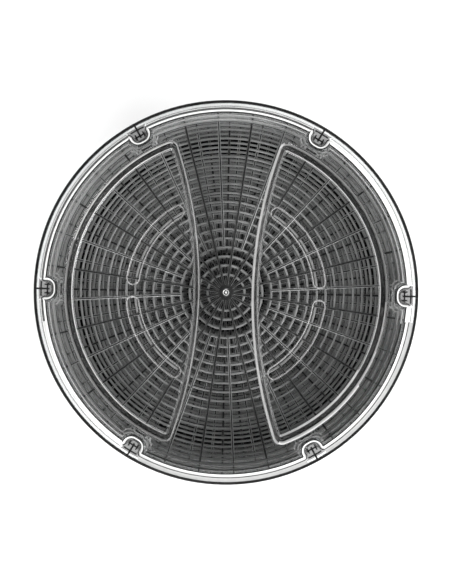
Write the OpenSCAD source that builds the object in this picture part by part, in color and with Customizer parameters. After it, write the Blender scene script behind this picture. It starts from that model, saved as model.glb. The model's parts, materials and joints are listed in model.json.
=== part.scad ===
// Round food dehydrator: a clear vented lid on five clear nesting trays on a black powered base.
// Millimetres, +Z up. The origin is on the ground under the middle of the feet, and -Y is the front.

/* [Stack] */
// Number of trays between the base and the lid
tray_count = 5; // [3:1:6]
// Height that each tray adds to the stack
tray_pitch = 32; // [28:1:38]
// How far a tray's skirt reaches down past the rim that it rests on
nest_depth = 10; // [8:1:12]
// Outer radius of the tray walls and of the base rim
wall_r = 157; // [155:1:160]
// Wall thickness of the clear mouldings
wall_t = 1.8; // [1.6:0.1:2.0]
// Free height between two pieces that rest on each other
rest_gap = 0.2; // [0.1:0.05:0.3]

/* [Tray grid] */
// Radial distance from one ring of the grid to the next
ring_pitch = 8; // [7:0.5:10]
// Width of each ring
ring_w = 2.4; // [1.8:0.2:3]
// Width of each spoke
spoke_w = 2; // [1.6:0.2:2.6]
// Number of spokes that start at the hub, with as many short ones between them
spoke_count = 16; // [12:2:20]
// Ring at which the short spokes start
short_spoke_ring = 5; // [4:1:8]
// Radius of the solid hub
hub_r = 7; // [6:0.5:9]
// Thickness of the rings
ring_t = 1; // [0.8:0.1:1.4]
// Thickness of the spokes, which lie on the rings
spoke_t = 1.2; // [1:0.1:1.6]

/* [Pockets] */
// Number of upright pockets around each wall
pocket_count = 6; // [3:1:8]
// Width of a pocket
pocket_w = 13.2; // [10:0.2:16]
// Radius of a pocket's foot
pocket_foot_r = 146; // [144:0.5:148]

/* [Lid] */
// How far the lid's skirt stands outside the tray walls
lid_overhang = 6; // [5:0.5:7]
// Height of the lid's skirt
skirt_h = 9; // [6:0.5:12]
// Height of the crown above the flange
crown_h = 8; // [6:0.5:10]
// Radius of the crown at its foot
crown_foot_r = 156.5; // [154:0.5:157]
// Radius of the crown at its top
crown_top_r = 152.4; // [150:0.2:153]
// Depth of the two finger wells below the crown
well_depth = 22; // [16:1:26]
// Radius of a finger well's outer wall
well_outer_r = 134.9; // [130:0.1:138]
// Distance from the middle to a finger well's inner wall
well_inner_x = 24; // [20:0.5:30]
// Radius of the arc of that inner wall
well_inner_r = 370; // [300:5:450]
// Radius of the finger wells' corners
well_corner_r = 5; // [4:0.5:8]
// Radius of the vent slots' middle line
vent_r = 80.6; // [76:0.2:90]
// Width of a vent slot
vent_w = 9.8; // [6:0.2:12]
// Angle from the wells' middle line to the near end of a vent slot
vent_start = 7.5; // [6:0.5:15]
// Angle from the wells' middle line to the far end of a vent slot
vent_end = 58; // [45:0.5:58]

/* [Base] */
// Height of the base, up to its rim
base_h = 86; // [82:1:96]
// Radius of the base at its foot
base_foot_r = 149; // [146:0.5:152]
// Wall thickness of the base
base_t = 2.4; // [2:0.1:3]
// Height of the rubber feet
foot_h = 6; // [5:0.5:8]
// Radius of a rubber foot
foot_r = 9; // [7:0.5:12]
// Distance from the middle of the base to each foot
foot_circle_r = 120; // [100:1:125]
// Distance from the middle of the base to each cover screw
screw_circle_r = 134; // [130:0.5:136]

/* [Controls] */
// Distance from the middle of the base to the flat control face
panel_y = 138; // [136:0.5:140]
// Width of the recess around the controls
recess_w = 136; // [124:1:140]
// Height of the recess around the controls
recess_h = 48; // [44:1:50]
// Height of the controls' middle line
control_z = 38; // [37:0.5:39]
// Distance from the knob to the switch on one side and the lamp on the other
control_spacing = 42; // [36:1:46]
// Radius of the thermostat knob
knob_r = 17; // [14:0.5:19]
// Depth of the thermostat knob
knob_d = 13; // [10:0.5:15]
// Angle of the rocker from its middle position to either side
rocker_tilt = 8; // [5:1:9]

/* [Fan and heater] */
// Radius of the air duct's bore
duct_r = 58; // [54:0.5:62]
// Radius of the fan, over its blades
fan_r = 54.5; // [50:0.5:54.5]
// Number of fan blades
blade_count = 7; // [5:1:9]
// Pitch of the fan blades
blade_pitch = 30; // [22:1:34]
// Radius of the motor shaft
shaft_r = 3; // [2.5:0.1:3.2]
// Radius of the motor's rotor
rotor_r = 15.2; // [12:0.1:15.2]
// Running clearance of the shafts, on the radius
run_gap = 0.05; // [0.02:0.01:0.08]
// Radius of the heating wire
element_r = 0.9; // [0.6:0.1:1.1]
// Radius of the bore of the cord gland
gland_bore_r = 3.5; // [3:0.1:4]

/* [Hidden] */
$fn = 96;
side_gap = 0.6;
over = 1;
clear_color = [0.90, 0.92, 0.93, 0.45];
black_color = [0.07, 0.07, 0.08];
metal_color = [0.70, 0.71, 0.73];

inner_r = wall_r - wall_t;
skirt_r = inner_r - side_gap;
skirt_inner_r = skirt_r - wall_t;
tray_h = tray_pitch + nest_depth;
ring_count = floor((skirt_inner_r - ring_w) / ring_pitch);
top_rim_z = base_h + tray_count * tray_pitch;

lid_r = wall_r + lid_overhang;
flange_under_z = top_rim_z + rest_gap;
flange_top_z = flange_under_z + wall_t;
crown_top_z = flange_top_z + crown_h;
well_floor_z = crown_top_z - well_depth;
lip_h = 6;
rib_w = 1.2;

cover_z = foot_h;
cover_t = 2.4;
cover_top_z = cover_z + cover_t;
deck_z = base_h - nest_depth - 8;
deck_t = 2.4;
ledge_w = 4;
taper_top_z = base_h - 24;
recess_z = control_z - recess_h / 2;
panel_x = [-control_spacing, 0, control_spacing];
fascia_t = 1.2;
fascia_y = -panel_y - fascia_t;
boss_r = 5;
screw_turn = 35;
post_r = 5;
post_y = 20;
grille_r = duct_r + 8;
gland_z = 30;
gland_seat_y = 153.4;
plate_w = 26;
plate_top_z = 43;

core_z = 22;
core_h = 16;
bracket_t = 2.5;
bearing_r = 6;
bearing_h = 5;
fan_z = 45;
fan_h = 12;
fan_hub_r = 14;
heater_z = deck_z - 9.5;
heater_h = 8;
element_z = heater_z + heater_h / 2;
element_rings = [22, 32, 42, 52];

TRAYS = [for (k = [1:tray_count]) k];
CORNERS = [1, 2, 3, 4];

// Points along an arc, from one angle to another.
function arc(cx, cy, r, from, to, steps) =
    [for (i = [0:steps]) let (a = from + (to - from) * i / steps) [cx + r * cos(a), cy + r * sin(a)]];

// A pocket's outline on +X: two straight sides and a round foot, wider by grow on every side.
function pocket_outline(grow) =
    let (half = pocket_w / 2 + grow)
    let (foot_x = pocket_foot_r + pocket_w / 2)
    concat(
        [[wall_r + 4, -half], [wall_r + 4, half]],
        arc(foot_x, 0, half, 90, 270, 14)
    );

// A finger well's outline on +X: the lens between two arcs, with rounded corners.
function well_outline(grow) =
    let (big_x = well_inner_x + well_inner_r)
    let (near = well_outer_r - well_corner_r)
    let (far = well_inner_r - well_corner_r)
    let (corner_x = (near * near - far * far + big_x * big_x) / (2 * big_x))
    let (corner_y = sqrt(near * near - corner_x * corner_x))
    let (outer_a = atan2(corner_y, corner_x))
    let (inner_a = atan2(corner_y, corner_x - big_x))
    concat(
        arc(0, 0, well_outer_r + grow, -outer_a, outer_a, 40),
        arc(corner_x, corner_y, well_corner_r + grow, outer_a + 10, inner_a - 10, 5),
        arc(big_x, 0, well_inner_r + grow, inner_a, 360 - inner_a, 16),
        arc(corner_x, -corner_y, well_corner_r + grow, 370 - inner_a, 350 - outer_a, 5)
    );

// A slot that follows an arc, with round ends.
function arc_slot(r, w, from, to) =
    let (end_x = r * cos(to))
    let (end_y = r * sin(to))
    concat(
        arc(0, 0, r + w / 2, from, to, 16),
        arc(end_x, end_y, w / 2, to + 20, to + 160, 6),
        arc(0, 0, r - w / 2, to, from, 16),
        arc(r * cos(from), r * sin(from), w / 2, from + 200, from + 340, 6)
    );

function tray_rim_z(k) = base_h + (tray_count - k + 1) * tray_pitch;

// Trays are turned against each other by whole pockets, so that their grids cross.
function tray_turn(k) = 60 * (2 - k);

// A square that starts on the X axis and runs along it.
module bar_plan(from, to, w) {
    translate([from, -w / 2])
        square([to - from, w]);
}

module ring_plan(outer, inner) {
    difference() {
        circle(outer);
        circle(inner);
    }
}

module tube(z, h, outer, inner) {
    translate([0, 0, z])
        linear_extrude(h)
            ring_plan(outer, inner);
}

// A cylinder whose axis is along Y, from one y to another.
module rod_y(x, z, from, to, r) {
    translate([x, to, z])
        rotate([90, 0, 0])
            cylinder(h = to - from, r = r);
}

module pockets_plan(grow) {
    for (k = [0:pocket_count - 1])
        rotate(k * 360 / pocket_count)
            polygon(pocket_outline(grow));
}

// The round outline of a wall, with its pockets cut in by grow more than at the outside.
module wall_plan(r, grow) {
    difference() {
        circle(r);
        pockets_plan(grow);
    }
}

// A wall between two outlines that are one wall thickness apart.
module wall_shell(z, h, r, grow) {
    translate([0, 0, z])
        linear_extrude(h)
            difference() {
                wall_plan(r, grow);
                wall_plan(r - wall_t, grow + wall_t);
            }
}

module tray_wall(k) {
    rim_z = tray_rim_z(k);
    seat_z = rim_z - tray_pitch + rest_gap;
    inset = wall_t + side_gap;
    color(clear_color)
        rotate(tray_turn(k)) {
            wall_shell(seat_z, rim_z - seat_z, wall_r, 0);
            translate([0, 0, seat_z])
                linear_extrude(wall_t)
                    difference() {
                        wall_plan(wall_r, 0);
                        wall_plan(skirt_inner_r, inset + wall_t);
                    }
            wall_shell(rim_z - tray_h, tray_h - tray_pitch + rest_gap, skirt_r, inset);
        }
}

// The part of a plan that lies within a tray's skirt.
module within_skirt() {
    intersection() {
        wall_plan(skirt_inner_r, 2 * wall_t + side_gap);
        children();
    }
}

// The hub, the long and the short spokes, and the edge band that they end in.
module spokes_plan() {
    circle(hub_r);
    ring_plan(skirt_inner_r + over, skirt_inner_r - ring_w);
    for (k = [0:spoke_count - 1]) {
        rotate(k * 360 / spoke_count)
            bar_plan(hub_r - over, skirt_inner_r, spoke_w);
        rotate((k + 0.5) * 360 / spoke_count)
            bar_plan(short_spoke_ring * ring_pitch, skirt_inner_r, spoke_w);
    }
}

module tray_spokes(k) {
    color(clear_color)
        rotate(tray_turn(k))
            translate([0, 0, tray_rim_z(k) - tray_h + ring_t])
                linear_extrude(spoke_t)
                    within_skirt()
                        spokes_plan();
}

module tray_rings(k) {
    color(clear_color)
        rotate(tray_turn(k))
            translate([0, 0, tray_rim_z(k) - tray_h])
                linear_extrude(ring_t)
                    within_skirt()
                        for (n = [2:ring_count])
                            ring_plan(n * ring_pitch + ring_w / 2, n * ring_pitch - ring_w / 2);
}

// Both finger wells, from a height upwards.
module wells(z, h, grow) {
    for (turn = [0, 180])
        translate([0, 0, z])
            rotate(turn)
                linear_extrude(h)
                    polygon(well_outline(grow));
}

module vents() {
    for (turn = [0, 180])
        for (side = [0, 1])
            rotate(turn)
                mirror([0, side, 0])
                    translate([0, 0, well_floor_z - wall_t - over])
                        linear_extrude(wall_t + 2 * over)
                            polygon(arc_slot(vent_r, vent_w, vent_start, vent_end));
}

module lid_lip() {
    wall_shell(flange_under_z - lip_h, lip_h + wall_t, skirt_r, wall_t + side_gap);
}

// The space under the lid, with the wells' and pockets' own walls left out of it.
module lid_hollow() {
    difference() {
        union() {
            translate([0, 0, flange_top_z - skirt_h - over])
                cylinder(h = flange_under_z - flange_top_z + skirt_h + over, r = lid_r - wall_t);
            translate([0, 0, flange_under_z - over])
                cylinder(h = over, r = crown_foot_r - wall_t);
            translate([0, 0, flange_under_z])
                cylinder(h = crown_h, r1 = crown_foot_r - wall_t, r2 = crown_top_r - wall_t);
        }
        wells(well_floor_z - wall_t - over, well_depth + 2 * over, wall_t);
        translate([0, 0, flange_under_z])
            linear_extrude(crown_h + over)
                pockets_plan(wall_t);
        lid_lip();
    }
}

module lid_ribs() {
    for (k = [0:pocket_count - 1])
        rotate(k * 360 / pocket_count)
            translate([0, 0, flange_top_z - wall_t / 2])
                linear_extrude(wall_t / 2 + 1.4)
                    bar_plan(pocket_foot_r + 3.3, wall_r + 3, rib_w);
}

module lid() {
    color(clear_color) {
        difference() {
            union() {
                translate([0, 0, flange_top_z - skirt_h])
                    cylinder(h = skirt_h, r = lid_r);
                translate([0, 0, flange_top_z])
                    cylinder(h = crown_h, r1 = crown_foot_r, r2 = crown_top_r);
                wells(well_floor_z - wall_t, well_depth, wall_t);
            }
            lid_hollow();
            wells(well_floor_z, well_depth + over, 0);
            translate([0, 0, flange_top_z])
                linear_extrude(crown_h + over)
                    pockets_plan(0);
            vents();
        }
        lid_ribs();
    }
}

// The base's round body, made smaller by inset.
module base_body(inset, low, high) {
    rotate_extrude()
        polygon([
            [0, low],
            [base_foot_r - inset, low],
            [wall_r - inset, taper_top_z],
            [wall_r - inset, high],
            [0, high]
        ]);
}

// The block that the recess around the controls takes out of the base.
module recess_block(grow) {
    translate([-recess_w / 2 - grow, -wall_r - 2 * over, recess_z - grow])
        cube([recess_w + 2 * grow, wall_r - panel_y + 2 * over + grow, recess_h + 2 * grow]);
}

module control_holes() {
    rod_y(panel_x[1], control_z, -panel_y - 2 * over, -panel_y + base_t + over, 5);
    rod_y(panel_x[2], control_z, -panel_y - 2 * over, -panel_y + base_t + over, 4);
    translate([panel_x[0] - 7.6, -panel_y - 2 * over, control_z - 11.6])
        cube([15.2, base_t + 3 * over, 23.2]);
}

module screw_places() {
    for (k = CORNERS)
        rotate(k * 90 + screw_turn)
            translate([screw_circle_r, 0, 0])
                children();
}

module base_housing() {
    boss_z = cover_top_z + rest_gap;
    color(black_color)
        difference() {
            union() {
                difference() {
                    base_body(0, cover_z, base_h);
                    difference() {
                        base_body(base_t, cover_z - over, base_h + over);
                        recess_block(base_t);
                        tube(deck_z - base_t, base_t, wall_r, wall_r - base_t - ledge_w);
                    }
                    recess_block(0);
                }
                screw_places() {
                    translate([0, 0, boss_z])
                        cylinder(h = 40, r = boss_r);
                    translate([0, -rib_w, boss_z + 2])
                        cube([base_foot_r - screw_circle_r, 2 * rib_w, 14]);
                }
            }
            control_holes();
            screw_places()
                translate([0, 0, boss_z - over])
                    cylinder(h = 14 + over, r = 1.6);
            notch_block(plate_w, plate_top_z + rest_gap);
        }
}

// The block in which the cord plate lies, from under the housing up.
module notch_block(w, top) {
    translate([-w / 2, base_foot_r - 9, cover_z - over])
        cube([w, 20, top - cover_z + over]);
}

// A plate that slides into a notch in the housing's lower edge, with a boss for the cord gland.
module cord_plate() {
    color(black_color)
        difference() {
            union() {
                intersection() {
                    difference() {
                        base_body(0, cover_z, base_h);
                        base_body(base_t, cover_z - over, base_h + over);
                    }
                    notch_block(plate_w - 2 * rest_gap, plate_top_z);
                }
                rod_y(0, gland_z, 146, gland_seat_y, 11);
            }
            rod_y(0, gland_z, 140, 156, 6.5);
        }
}

module control_fascia() {
    color([0.12, 0.12, 0.13])
        difference() {
            translate([-recess_w / 2 + 2, fascia_y, recess_z + 2])
                cube([recess_w - 4, fascia_t, recess_h - 4]);
            control_holes();
        }
}

module base_deck() {
    color(black_color)
        tube(deck_z, deck_t, wall_r - base_t - 0.3, duct_r + 2);
}

module outlet_grille() {
    color(black_color)
        translate([0, 0, deck_z + deck_t])
            linear_extrude(2) {
                circle(14);
                for (r = [22, 30, 38, 46, 54])
                    ring_plan(r + 1, r - 1);
                ring_plan(grille_r, duct_r + 1);
                for (k = [0:7])
                    rotate(k * 45)
                        bar_plan(13, duct_r + 2, 2.4);
            }
}

module fan_shroud() {
    color(black_color)
        union() {
            tube(42, deck_z - 42, duct_r + 2, duct_r);
            tube(deck_z - 2, 2, grille_r, duct_r);
        }
}

module heat_liner() {
    color(metal_color)
        tube(heater_z - 0.5, heater_h + 1, duct_r - 0.2, duct_r - 0.7);
}

module element_ring(r, wire_r) {
    translate([0, 0, element_z])
        rotate_extrude()
            translate([r, 0])
                circle(wire_r, $fn = 32);
}

module heater_frame() {
    color([0.78, 0.72, 0.60])
        difference() {
            for (turn = [0, 90])
                rotate(turn)
                    translate([-duct_r + 1, -0.6, heater_z])
                        cube([2 * duct_r - 2, 1.2, heater_h]);
            for (r = element_rings)
                element_ring(r, element_r + 0.2);
        }
}

module heating_element() {
    color([0.55, 0.48, 0.42]) {
        for (r = element_rings)
            element_ring(r, element_r);
        for (turn = [45, 225])
            rotate(turn)
                translate([element_rings[0], 0, element_z])
                    rotate([0, 90, 0])
                        cylinder(h = element_rings[3] - element_rings[0], r = element_r * 0.8);
    }
}

module fan_impeller() {
    chord = (fan_h - 2) / sin(blade_pitch);
    color([0.15, 0.15, 0.16])
        difference() {
            union() {
                translate([0, 0, fan_z])
                    cylinder(h = fan_h, r = fan_hub_r);
                intersection() {
                    translate([0, 0, fan_z])
                        cylinder(h = fan_h, r = fan_r);
                    for (k = [0:blade_count - 1])
                        rotate(k * 360 / blade_count)
                            translate([fan_hub_r - 3, 0, fan_z + fan_h / 2])
                                rotate([blade_pitch, 0, 0])
                                    translate([0, -chord / 2, -0.8])
                                        cube([fan_r, chord, 1.6]);
                }
            }
            translate([0, 0, fan_z - over])
                cylinder(h = fan_h + 2 * over, r = shaft_r);
        }
}

module fan_clip() {
    color(metal_color)
        tube(fan_z + fan_h, 1, shaft_r + 2.5, shaft_r);
}

module motor_shaft() {
    color(metal_color)
        translate([0, 0, 15])
            cylinder(h = fan_z + fan_h + 1.5 - 15, r = shaft_r);
}

module motor_rotor() {
    color([0.45, 0.45, 0.47])
        tube(core_z + 2, core_h - 4, rotor_r, shaft_r);
}

module motor_core() {
    color([0.45, 0.45, 0.47])
        translate([0, 0, core_z])
            linear_extrude(core_h)
                difference() {
                    translate([-24, -24])
                        square([68, 48]);
                    circle(rotor_r + 0.4);
                    translate([22, -14])
                        square([10, 28]);
                    for (side = [-1, 1])
                        translate([0, side * post_y])
                            circle(1.7);
                }
}

module motor_coil() {
    color([0.72, 0.38, 0.16])
        difference() {
            translate([22.5, -13.5, core_z - 3])
                cube([31, 27, core_h + 6]);
            translate([31.8, -14.5, core_z - 0.2])
                cube([12.4, 29, core_h + 0.4]);
        }
}

module bracket(z) {
    color(metal_color)
        translate([0, 0, z])
            linear_extrude(bracket_t)
                difference() {
                    translate([-9, -26])
                        square([18, 52]);
                    circle(bearing_r);
                    for (side = [-1, 1])
                        translate([0, side * post_y])
                            circle(1.7);
                }
}

module bracket_upper() {
    bracket(core_z + core_h);
}

module bracket_lower() {
    bracket(core_z - bracket_t);
}

module bearing(z) {
    color([0.72, 0.58, 0.30])
        tube(z, bearing_h, bearing_r, shaft_r + run_gap);
}

module bearing_upper() {
    bearing(core_z + core_h - 1);
}

module bearing_lower() {
    bearing(core_z - bearing_h + 1);
}

module motor_screw(side) {
    head_z = core_z + core_h + bracket_t;
    color(metal_color)
        translate([0, side * post_y, 0]) {
            translate([0, 0, 12])
                cylinder(h = head_z - 12, r = 1.5);
            translate([0, 0, head_z])
                cylinder(h = 2, r = 3);
        }
}

module thermostat_body() {
    color([0.55, 0.52, 0.46])
        difference() {
            union() {
                translate([-13, -panel_y + base_t + 0.2, control_z - 11])
                    cube([26, 19, 22]);
                rod_y(0, control_z, fascia_y - 0.6, -panel_y + base_t + 2, 4.8);
            }
            rod_y(0, control_z, fascia_y - over, -panel_y + 12, shaft_r + run_gap);
        }
}

module thermostat_shaft() {
    color(metal_color)
        rod_y(0, control_z, fascia_y - 11, -panel_y + 11, shaft_r);
}

module thermostat_knob() {
    front_y = fascia_y - 1 - knob_d;
    color([0.16, 0.16, 0.17])
        difference() {
            union() {
                rod_y(0, control_z, front_y + 3, fascia_y - 1, knob_r);
                translate([-2.5, front_y, control_z - knob_r + 1])
                    cube([5, 5, 2 * knob_r - 2]);
            }
            rod_y(0, control_z, fascia_y - 11, fascia_y, shaft_r);
        }
}

module thermal_fuse() {
    color([0.80, 0.78, 0.72])
        rotate(200)
            translate([76, -9, deck_z - 4])
                rotate([-90, 0, 0])
                    cylinder(h = 18, r = 2.2);
}

module fuse_clip() {
    color(metal_color)
        rotate(200)
            difference() {
                translate([72, -3, deck_z - 7])
                    cube([8, 6, 7]);
                translate([76, -4, deck_z - 4])
                    rotate([-90, 0, 0])
                        cylinder(h = 8, r = 2.2);
            }
}

module rocker_frame() {
    color([0.09, 0.09, 0.10])
        translate([panel_x[0], 0, control_z])
            difference() {
                union() {
                    translate([-9.5, fascia_y - 1.2, -13.5])
                        cube([19, 1.2, 27]);
                    translate([-7.5, fascia_y - 0.6, -11.5])
                        cube([15, 16, 23]);
                }
                translate([-5.9, fascia_y - 2, -10])
                    cube([11.8, 10, 20]);
                translate([-6.9, -panel_y, 0])
                    rotate([0, 90, 0])
                        cylinder(h = 13.8, r = 1 + run_gap);
            }
}

module power_rocker() {
    color([0.20, 0.20, 0.21])
        translate([panel_x[0], -panel_y, control_z])
            rotate([rocker_tilt, 0, 0]) {
                translate([-5.6, 0, 0])
                    rotate([90, 0, 90])
                        linear_extrude(11.2)
                            polygon([[4, -7], [4, 7], [-3.4, 9.2], [-2.2, 0], [-3.4, -9.2]]);
                translate([-6.8, 0, 0])
                    rotate([0, 90, 0])
                        cylinder(h = 13.6, r = 1);
            }
}

module indicator_lens() {
    color([0.85, 0.35, 0.15])
        union() {
            rod_y(panel_x[2], control_z, fascia_y - 2, -panel_y + base_t, 3.8);
            rod_y(panel_x[2], control_z, fascia_y - 1, fascia_y, 5);
        }
}

module indicator_lamp() {
    color([0.80, 0.80, 0.78])
        rod_y(panel_x[2], control_z, -panel_y + base_t, -panel_y + 14, 3);
}

module terminal_block() {
    color([0.88, 0.87, 0.82])
        difference() {
            translate([-66, 60, cover_top_z])
                cube([34, 14, 14]);
            for (k = [0:2])
                translate([-60 + k * 11, 67, cover_top_z + 4])
                    cylinder(h = 12, r = 2);
        }
}

module cord_gland() {
    color(black_color)
        difference() {
            union() {
                rod_y(0, gland_z, 141, 157, 6.3);
                rod_y(0, gland_z, gland_seat_y, 159, 9);
            }
            rod_y(0, gland_z, 140, 160, gland_bore_r);
        }
}

module gland_nut() {
    color(black_color)
        translate([0, 145.8, gland_z])
            rotate([90, 0, 0])
                difference() {
                    cylinder(h = 3.6, r = 9, $fn = 6);
                    translate([0, 0, -over])
                        cylinder(h = 3.6 + 2 * over, r = 6.3);
                }
}

// The bundle of insulated wires, clipped around the inside of the cover from the cord's end to the switch's.
module wiring_loom() {
    color([0.60, 0.60, 0.62])
        translate([0, 0, cover_top_z + 3])
            rotate([0, 0, 100])
                rotate_extrude(angle = 150)
                    translate([112, 0])
                        circle(2.5, $fn = 32);
}

module base_cover() {
    color(black_color)
        difference() {
            union() {
                translate([0, 0, cover_z])
                    cylinder(h = cover_t, r = base_foot_r - base_t - 0.4);
                for (side = [-1, 1])
                    translate([0, side * post_y, cover_z])
                        cylinder(h = core_z - bracket_t - cover_z, r = post_r);
            }
            for (k = [0:23])
                rotate(k * 15 + 7.5)
                    translate([34, -2, cover_z - over])
                        cube([34, 4, cover_t + 2 * over]);
            for (side = [-1, 1])
                translate([0, side * post_y, 11])
                    cylinder(h = 20, r = 1.5);
            screw_places()
                translate([0, 0, cover_z - over])
                    cylinder(h = cover_t + 2 * over, r = 2);
        }
}

module foot(k) {
    color([0.05, 0.05, 0.05])
        rotate(k * 90 - 45)
            translate([foot_circle_r, 0, 0])
                cylinder(h = foot_h, r1 = foot_r - 1, r2 = foot_r);
}

module cover_screw(k) {
    color(metal_color)
        rotate(k * 90 + screw_turn)
            translate([screw_circle_r, 0, 0]) {
                translate([0, 0, cover_z - 2])
                    cylinder(h = 2, r = 3.5);
                translate([0, 0, cover_z - 2])
                    cylinder(h = 14, r = 1.5);
            }
}

lid();
for (k = TRAYS) tray_wall(k);
for (k = TRAYS) tray_spokes(k);
for (k = TRAYS) tray_rings(k);
base_housing();
control_fascia();
base_deck();
outlet_grille();
fan_shroud();
heat_liner();
heater_frame();
heating_element();
fan_impeller();
fan_clip();
motor_shaft();
motor_rotor();
motor_core();
motor_coil();
bracket_upper();
bracket_lower();
bearing_upper();
bearing_lower();
motor_screw(1);  // motor_screw_1
motor_screw(-1);  // motor_screw_2
thermostat_body();
thermostat_shaft();
thermostat_knob();
thermal_fuse();
fuse_clip();
rocker_frame();
power_rocker();
indicator_lens();
indicator_lamp();
terminal_block();
cord_plate();
cord_gland();
gland_nut();
wiring_loom();
base_cover();
for (k = CORNERS) foot(k);
for (k = CORNERS) cover_screw(k);
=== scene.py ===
"""Looks of a round food dehydrator: a clear lid and five clear trays on a black base.

The trays and the lid are rebuilt with their roundings. The base and what is in it keep their CAD shapes.
"""
import json
import math

import bmesh
import bpy
import numpy as np
from mathutils import Matrix, Vector

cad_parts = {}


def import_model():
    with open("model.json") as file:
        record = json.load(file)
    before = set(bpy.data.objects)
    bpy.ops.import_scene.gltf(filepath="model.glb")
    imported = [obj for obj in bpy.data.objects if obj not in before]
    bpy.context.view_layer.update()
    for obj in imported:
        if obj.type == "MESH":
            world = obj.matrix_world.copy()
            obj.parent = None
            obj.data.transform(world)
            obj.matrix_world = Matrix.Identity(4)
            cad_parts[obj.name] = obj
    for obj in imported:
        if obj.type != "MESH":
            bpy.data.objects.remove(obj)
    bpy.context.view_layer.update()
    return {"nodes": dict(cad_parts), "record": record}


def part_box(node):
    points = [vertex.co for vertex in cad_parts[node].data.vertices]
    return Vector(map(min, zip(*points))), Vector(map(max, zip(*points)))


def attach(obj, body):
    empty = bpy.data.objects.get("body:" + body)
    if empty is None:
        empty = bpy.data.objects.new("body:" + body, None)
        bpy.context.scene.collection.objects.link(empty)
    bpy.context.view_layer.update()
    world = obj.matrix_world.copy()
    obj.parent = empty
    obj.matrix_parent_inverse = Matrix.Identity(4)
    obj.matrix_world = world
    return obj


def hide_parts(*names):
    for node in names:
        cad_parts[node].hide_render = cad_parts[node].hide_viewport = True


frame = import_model()

scene = bpy.context.scene
MM = 0.001

# ---------------------------------------------------------------- sizes in millimetres, as in the CAD model

# Trays: heights count from a tray's rim.
TRAYS = (1, 2, 3, 4, 5)
WALL_R = 157.0
WALL_T = 1.8
WALL_INNER_R = WALL_R - WALL_T
NEST = 10.0
TRAY_PITCH = 32.0
BOTTOM = -TRAY_PITCH - NEST
SEAT = 0.2 - TRAY_PITCH
TURN_PER_TRAY = 60

# A tray's grid. A ring is drawn in steps of so many degrees.
RING_PITCH = 8.0
RING_T = 1.05
RING_STEP = 1.875
LAST_RING = 18
SPOKE_COUNT = 16
SPOKE_FOOT = BOTTOM + RING_T - 0.1
SPOKE_END = 151.4
SPOKE_END_AT_POCKET = 141.6
SHORT_SPOKE_RING = 5
HUB_R = 7.0
HUB_OVERLAP = 1.5

# The pockets in the trays' walls and in the lid's crown. The reaches are half angles.
POCKETS = 6
POCKET_W = 13.2
POCKET_FOOT_R = 146.0
POCKET_CORNER_R = 5.0
POCKET_MOUTH_R = 3.0
POCKET_REACH = 4.6
CROWN_POCKET_REACH = 3.2

# Lid: a lean is how far a wall comes in over its whole height.
LID_R = 163.0
SKIRT_H = 9.0
CROWN_FOOT_R = 156.5
CROWN_H = 8.0
CROWN_LEAN = 3.0
CROWN_RIM = 2.4
WELL_DEPTH = 22.0
WELL_LEAN = 3.0
WELL_OUTER_R = 134.9
WELL_INNER_X = 24.0
WELL_INNER_R = 370.0
WELL_CORNER_R = 5.5
WELL_RIM = 2.4
WELL_FOOT = 3.0
VENT_R = 80.6
VENT_W = 9.8
VENT_START = 7.5
VENT_END = 58.0

crown_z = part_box("lid")[1][2] / MM
flange_z = crown_z - CROWN_H


# ---------------------------------------------------------------- small tools

def arc(cx, cy, r, start, end, steps):
    """Points along an arc, both ends included; angles in degrees."""
    angles = np.radians(np.linspace(start, end, steps + 1))
    return np.column_stack((cx + r * np.cos(angles), cy + r * np.sin(angles)))


def turned(points, degrees):
    """Plane points turned about the middle."""
    a = math.radians(degrees)
    return points @ np.array([[math.cos(a), math.sin(a)], [-math.sin(a), math.cos(a)]])


def at_height(points, z):
    """Plane points lifted to a height, as a loop in space."""
    return np.column_stack((points, np.full(len(points), z)))


def circle(r, steps):
    return arc(0, 0, r, 0, 360, steps)[:-1]


class Shell:
    """Collects loops, strips and fills of one mesh in millimetres."""

    def __init__(self):
        self.points = []
        self.faces = []
        self.looks = {}

    def add(self, loop):
        start = len(self.points)
        self.points.extend(tuple(p) for p in loop)
        return list(range(start, start + len(loop)))

    def strip(self, low, high, look=0):
        """Quads between two closed loops of the same length. look is their material number, or a function
        from a quad's place in the strip to it."""
        n = len(low)
        for i in range(n):
            j = (i + 1) % n
            self.looks[len(self.faces)] = look(i) if callable(look) else look
            self.faces.append((low[i], low[j], high[j], high[i]))

    def loft(self, loops, ring=False, looks=None):
        """Strips through a row of loops, and back to the first if ring is set. looks maps a strip's number
        to its look."""
        looks = looks or {}
        rows = [self.add(loop) for loop in loops]
        pairs = list(zip(rows, rows[1:])) + ([(rows[-1], rows[0])] if ring else [])
        for i, (low, high) in enumerate(pairs):
            self.strip(low, high, looks.get(i, 0))
        return rows

    def cap(self, row, flip=False):
        self.faces.append(tuple(reversed(row)) if flip else tuple(row))

    def fill(self, rows):
        """Triangles over the flat area between an outer row and the rows inside it."""
        bm = bmesh.new()
        verts, edges = [], []
        for row in rows:
            loop = [bm.verts.new(self.points[i]) for i in row]
            verts.extend(loop)
            edges.extend(bm.edges.new((a, b)) for a, b in zip(loop, loop[1:] + loop[:1]))
        names = [i for row in rows for i in row]
        bm.verts.index_update()
        found = bmesh.ops.triangle_fill(bm, edges=edges, use_beauty=True, normal=Vector((0, 0, 1)))
        for face in found["geom"]:
            if isinstance(face, bmesh.types.BMFace):
                self.faces.append(tuple(names[v.index] for v in face.verts))
        bm.free()

    def mesh(self, name):
        data = bpy.data.meshes.new(name)
        data.from_pydata([Vector(p) * MM for p in self.points], [], self.faces)
        bm = bmesh.new()
        bm.from_mesh(data)
        bmesh.ops.recalc_face_normals(bm, faces=bm.faces)
        bm.to_mesh(data)
        bm.free()
        for polygon in data.polygons:
            polygon.use_smooth = True
        for number, look in self.looks.items():
            data.polygons[number].material_index = look
        return data


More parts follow.
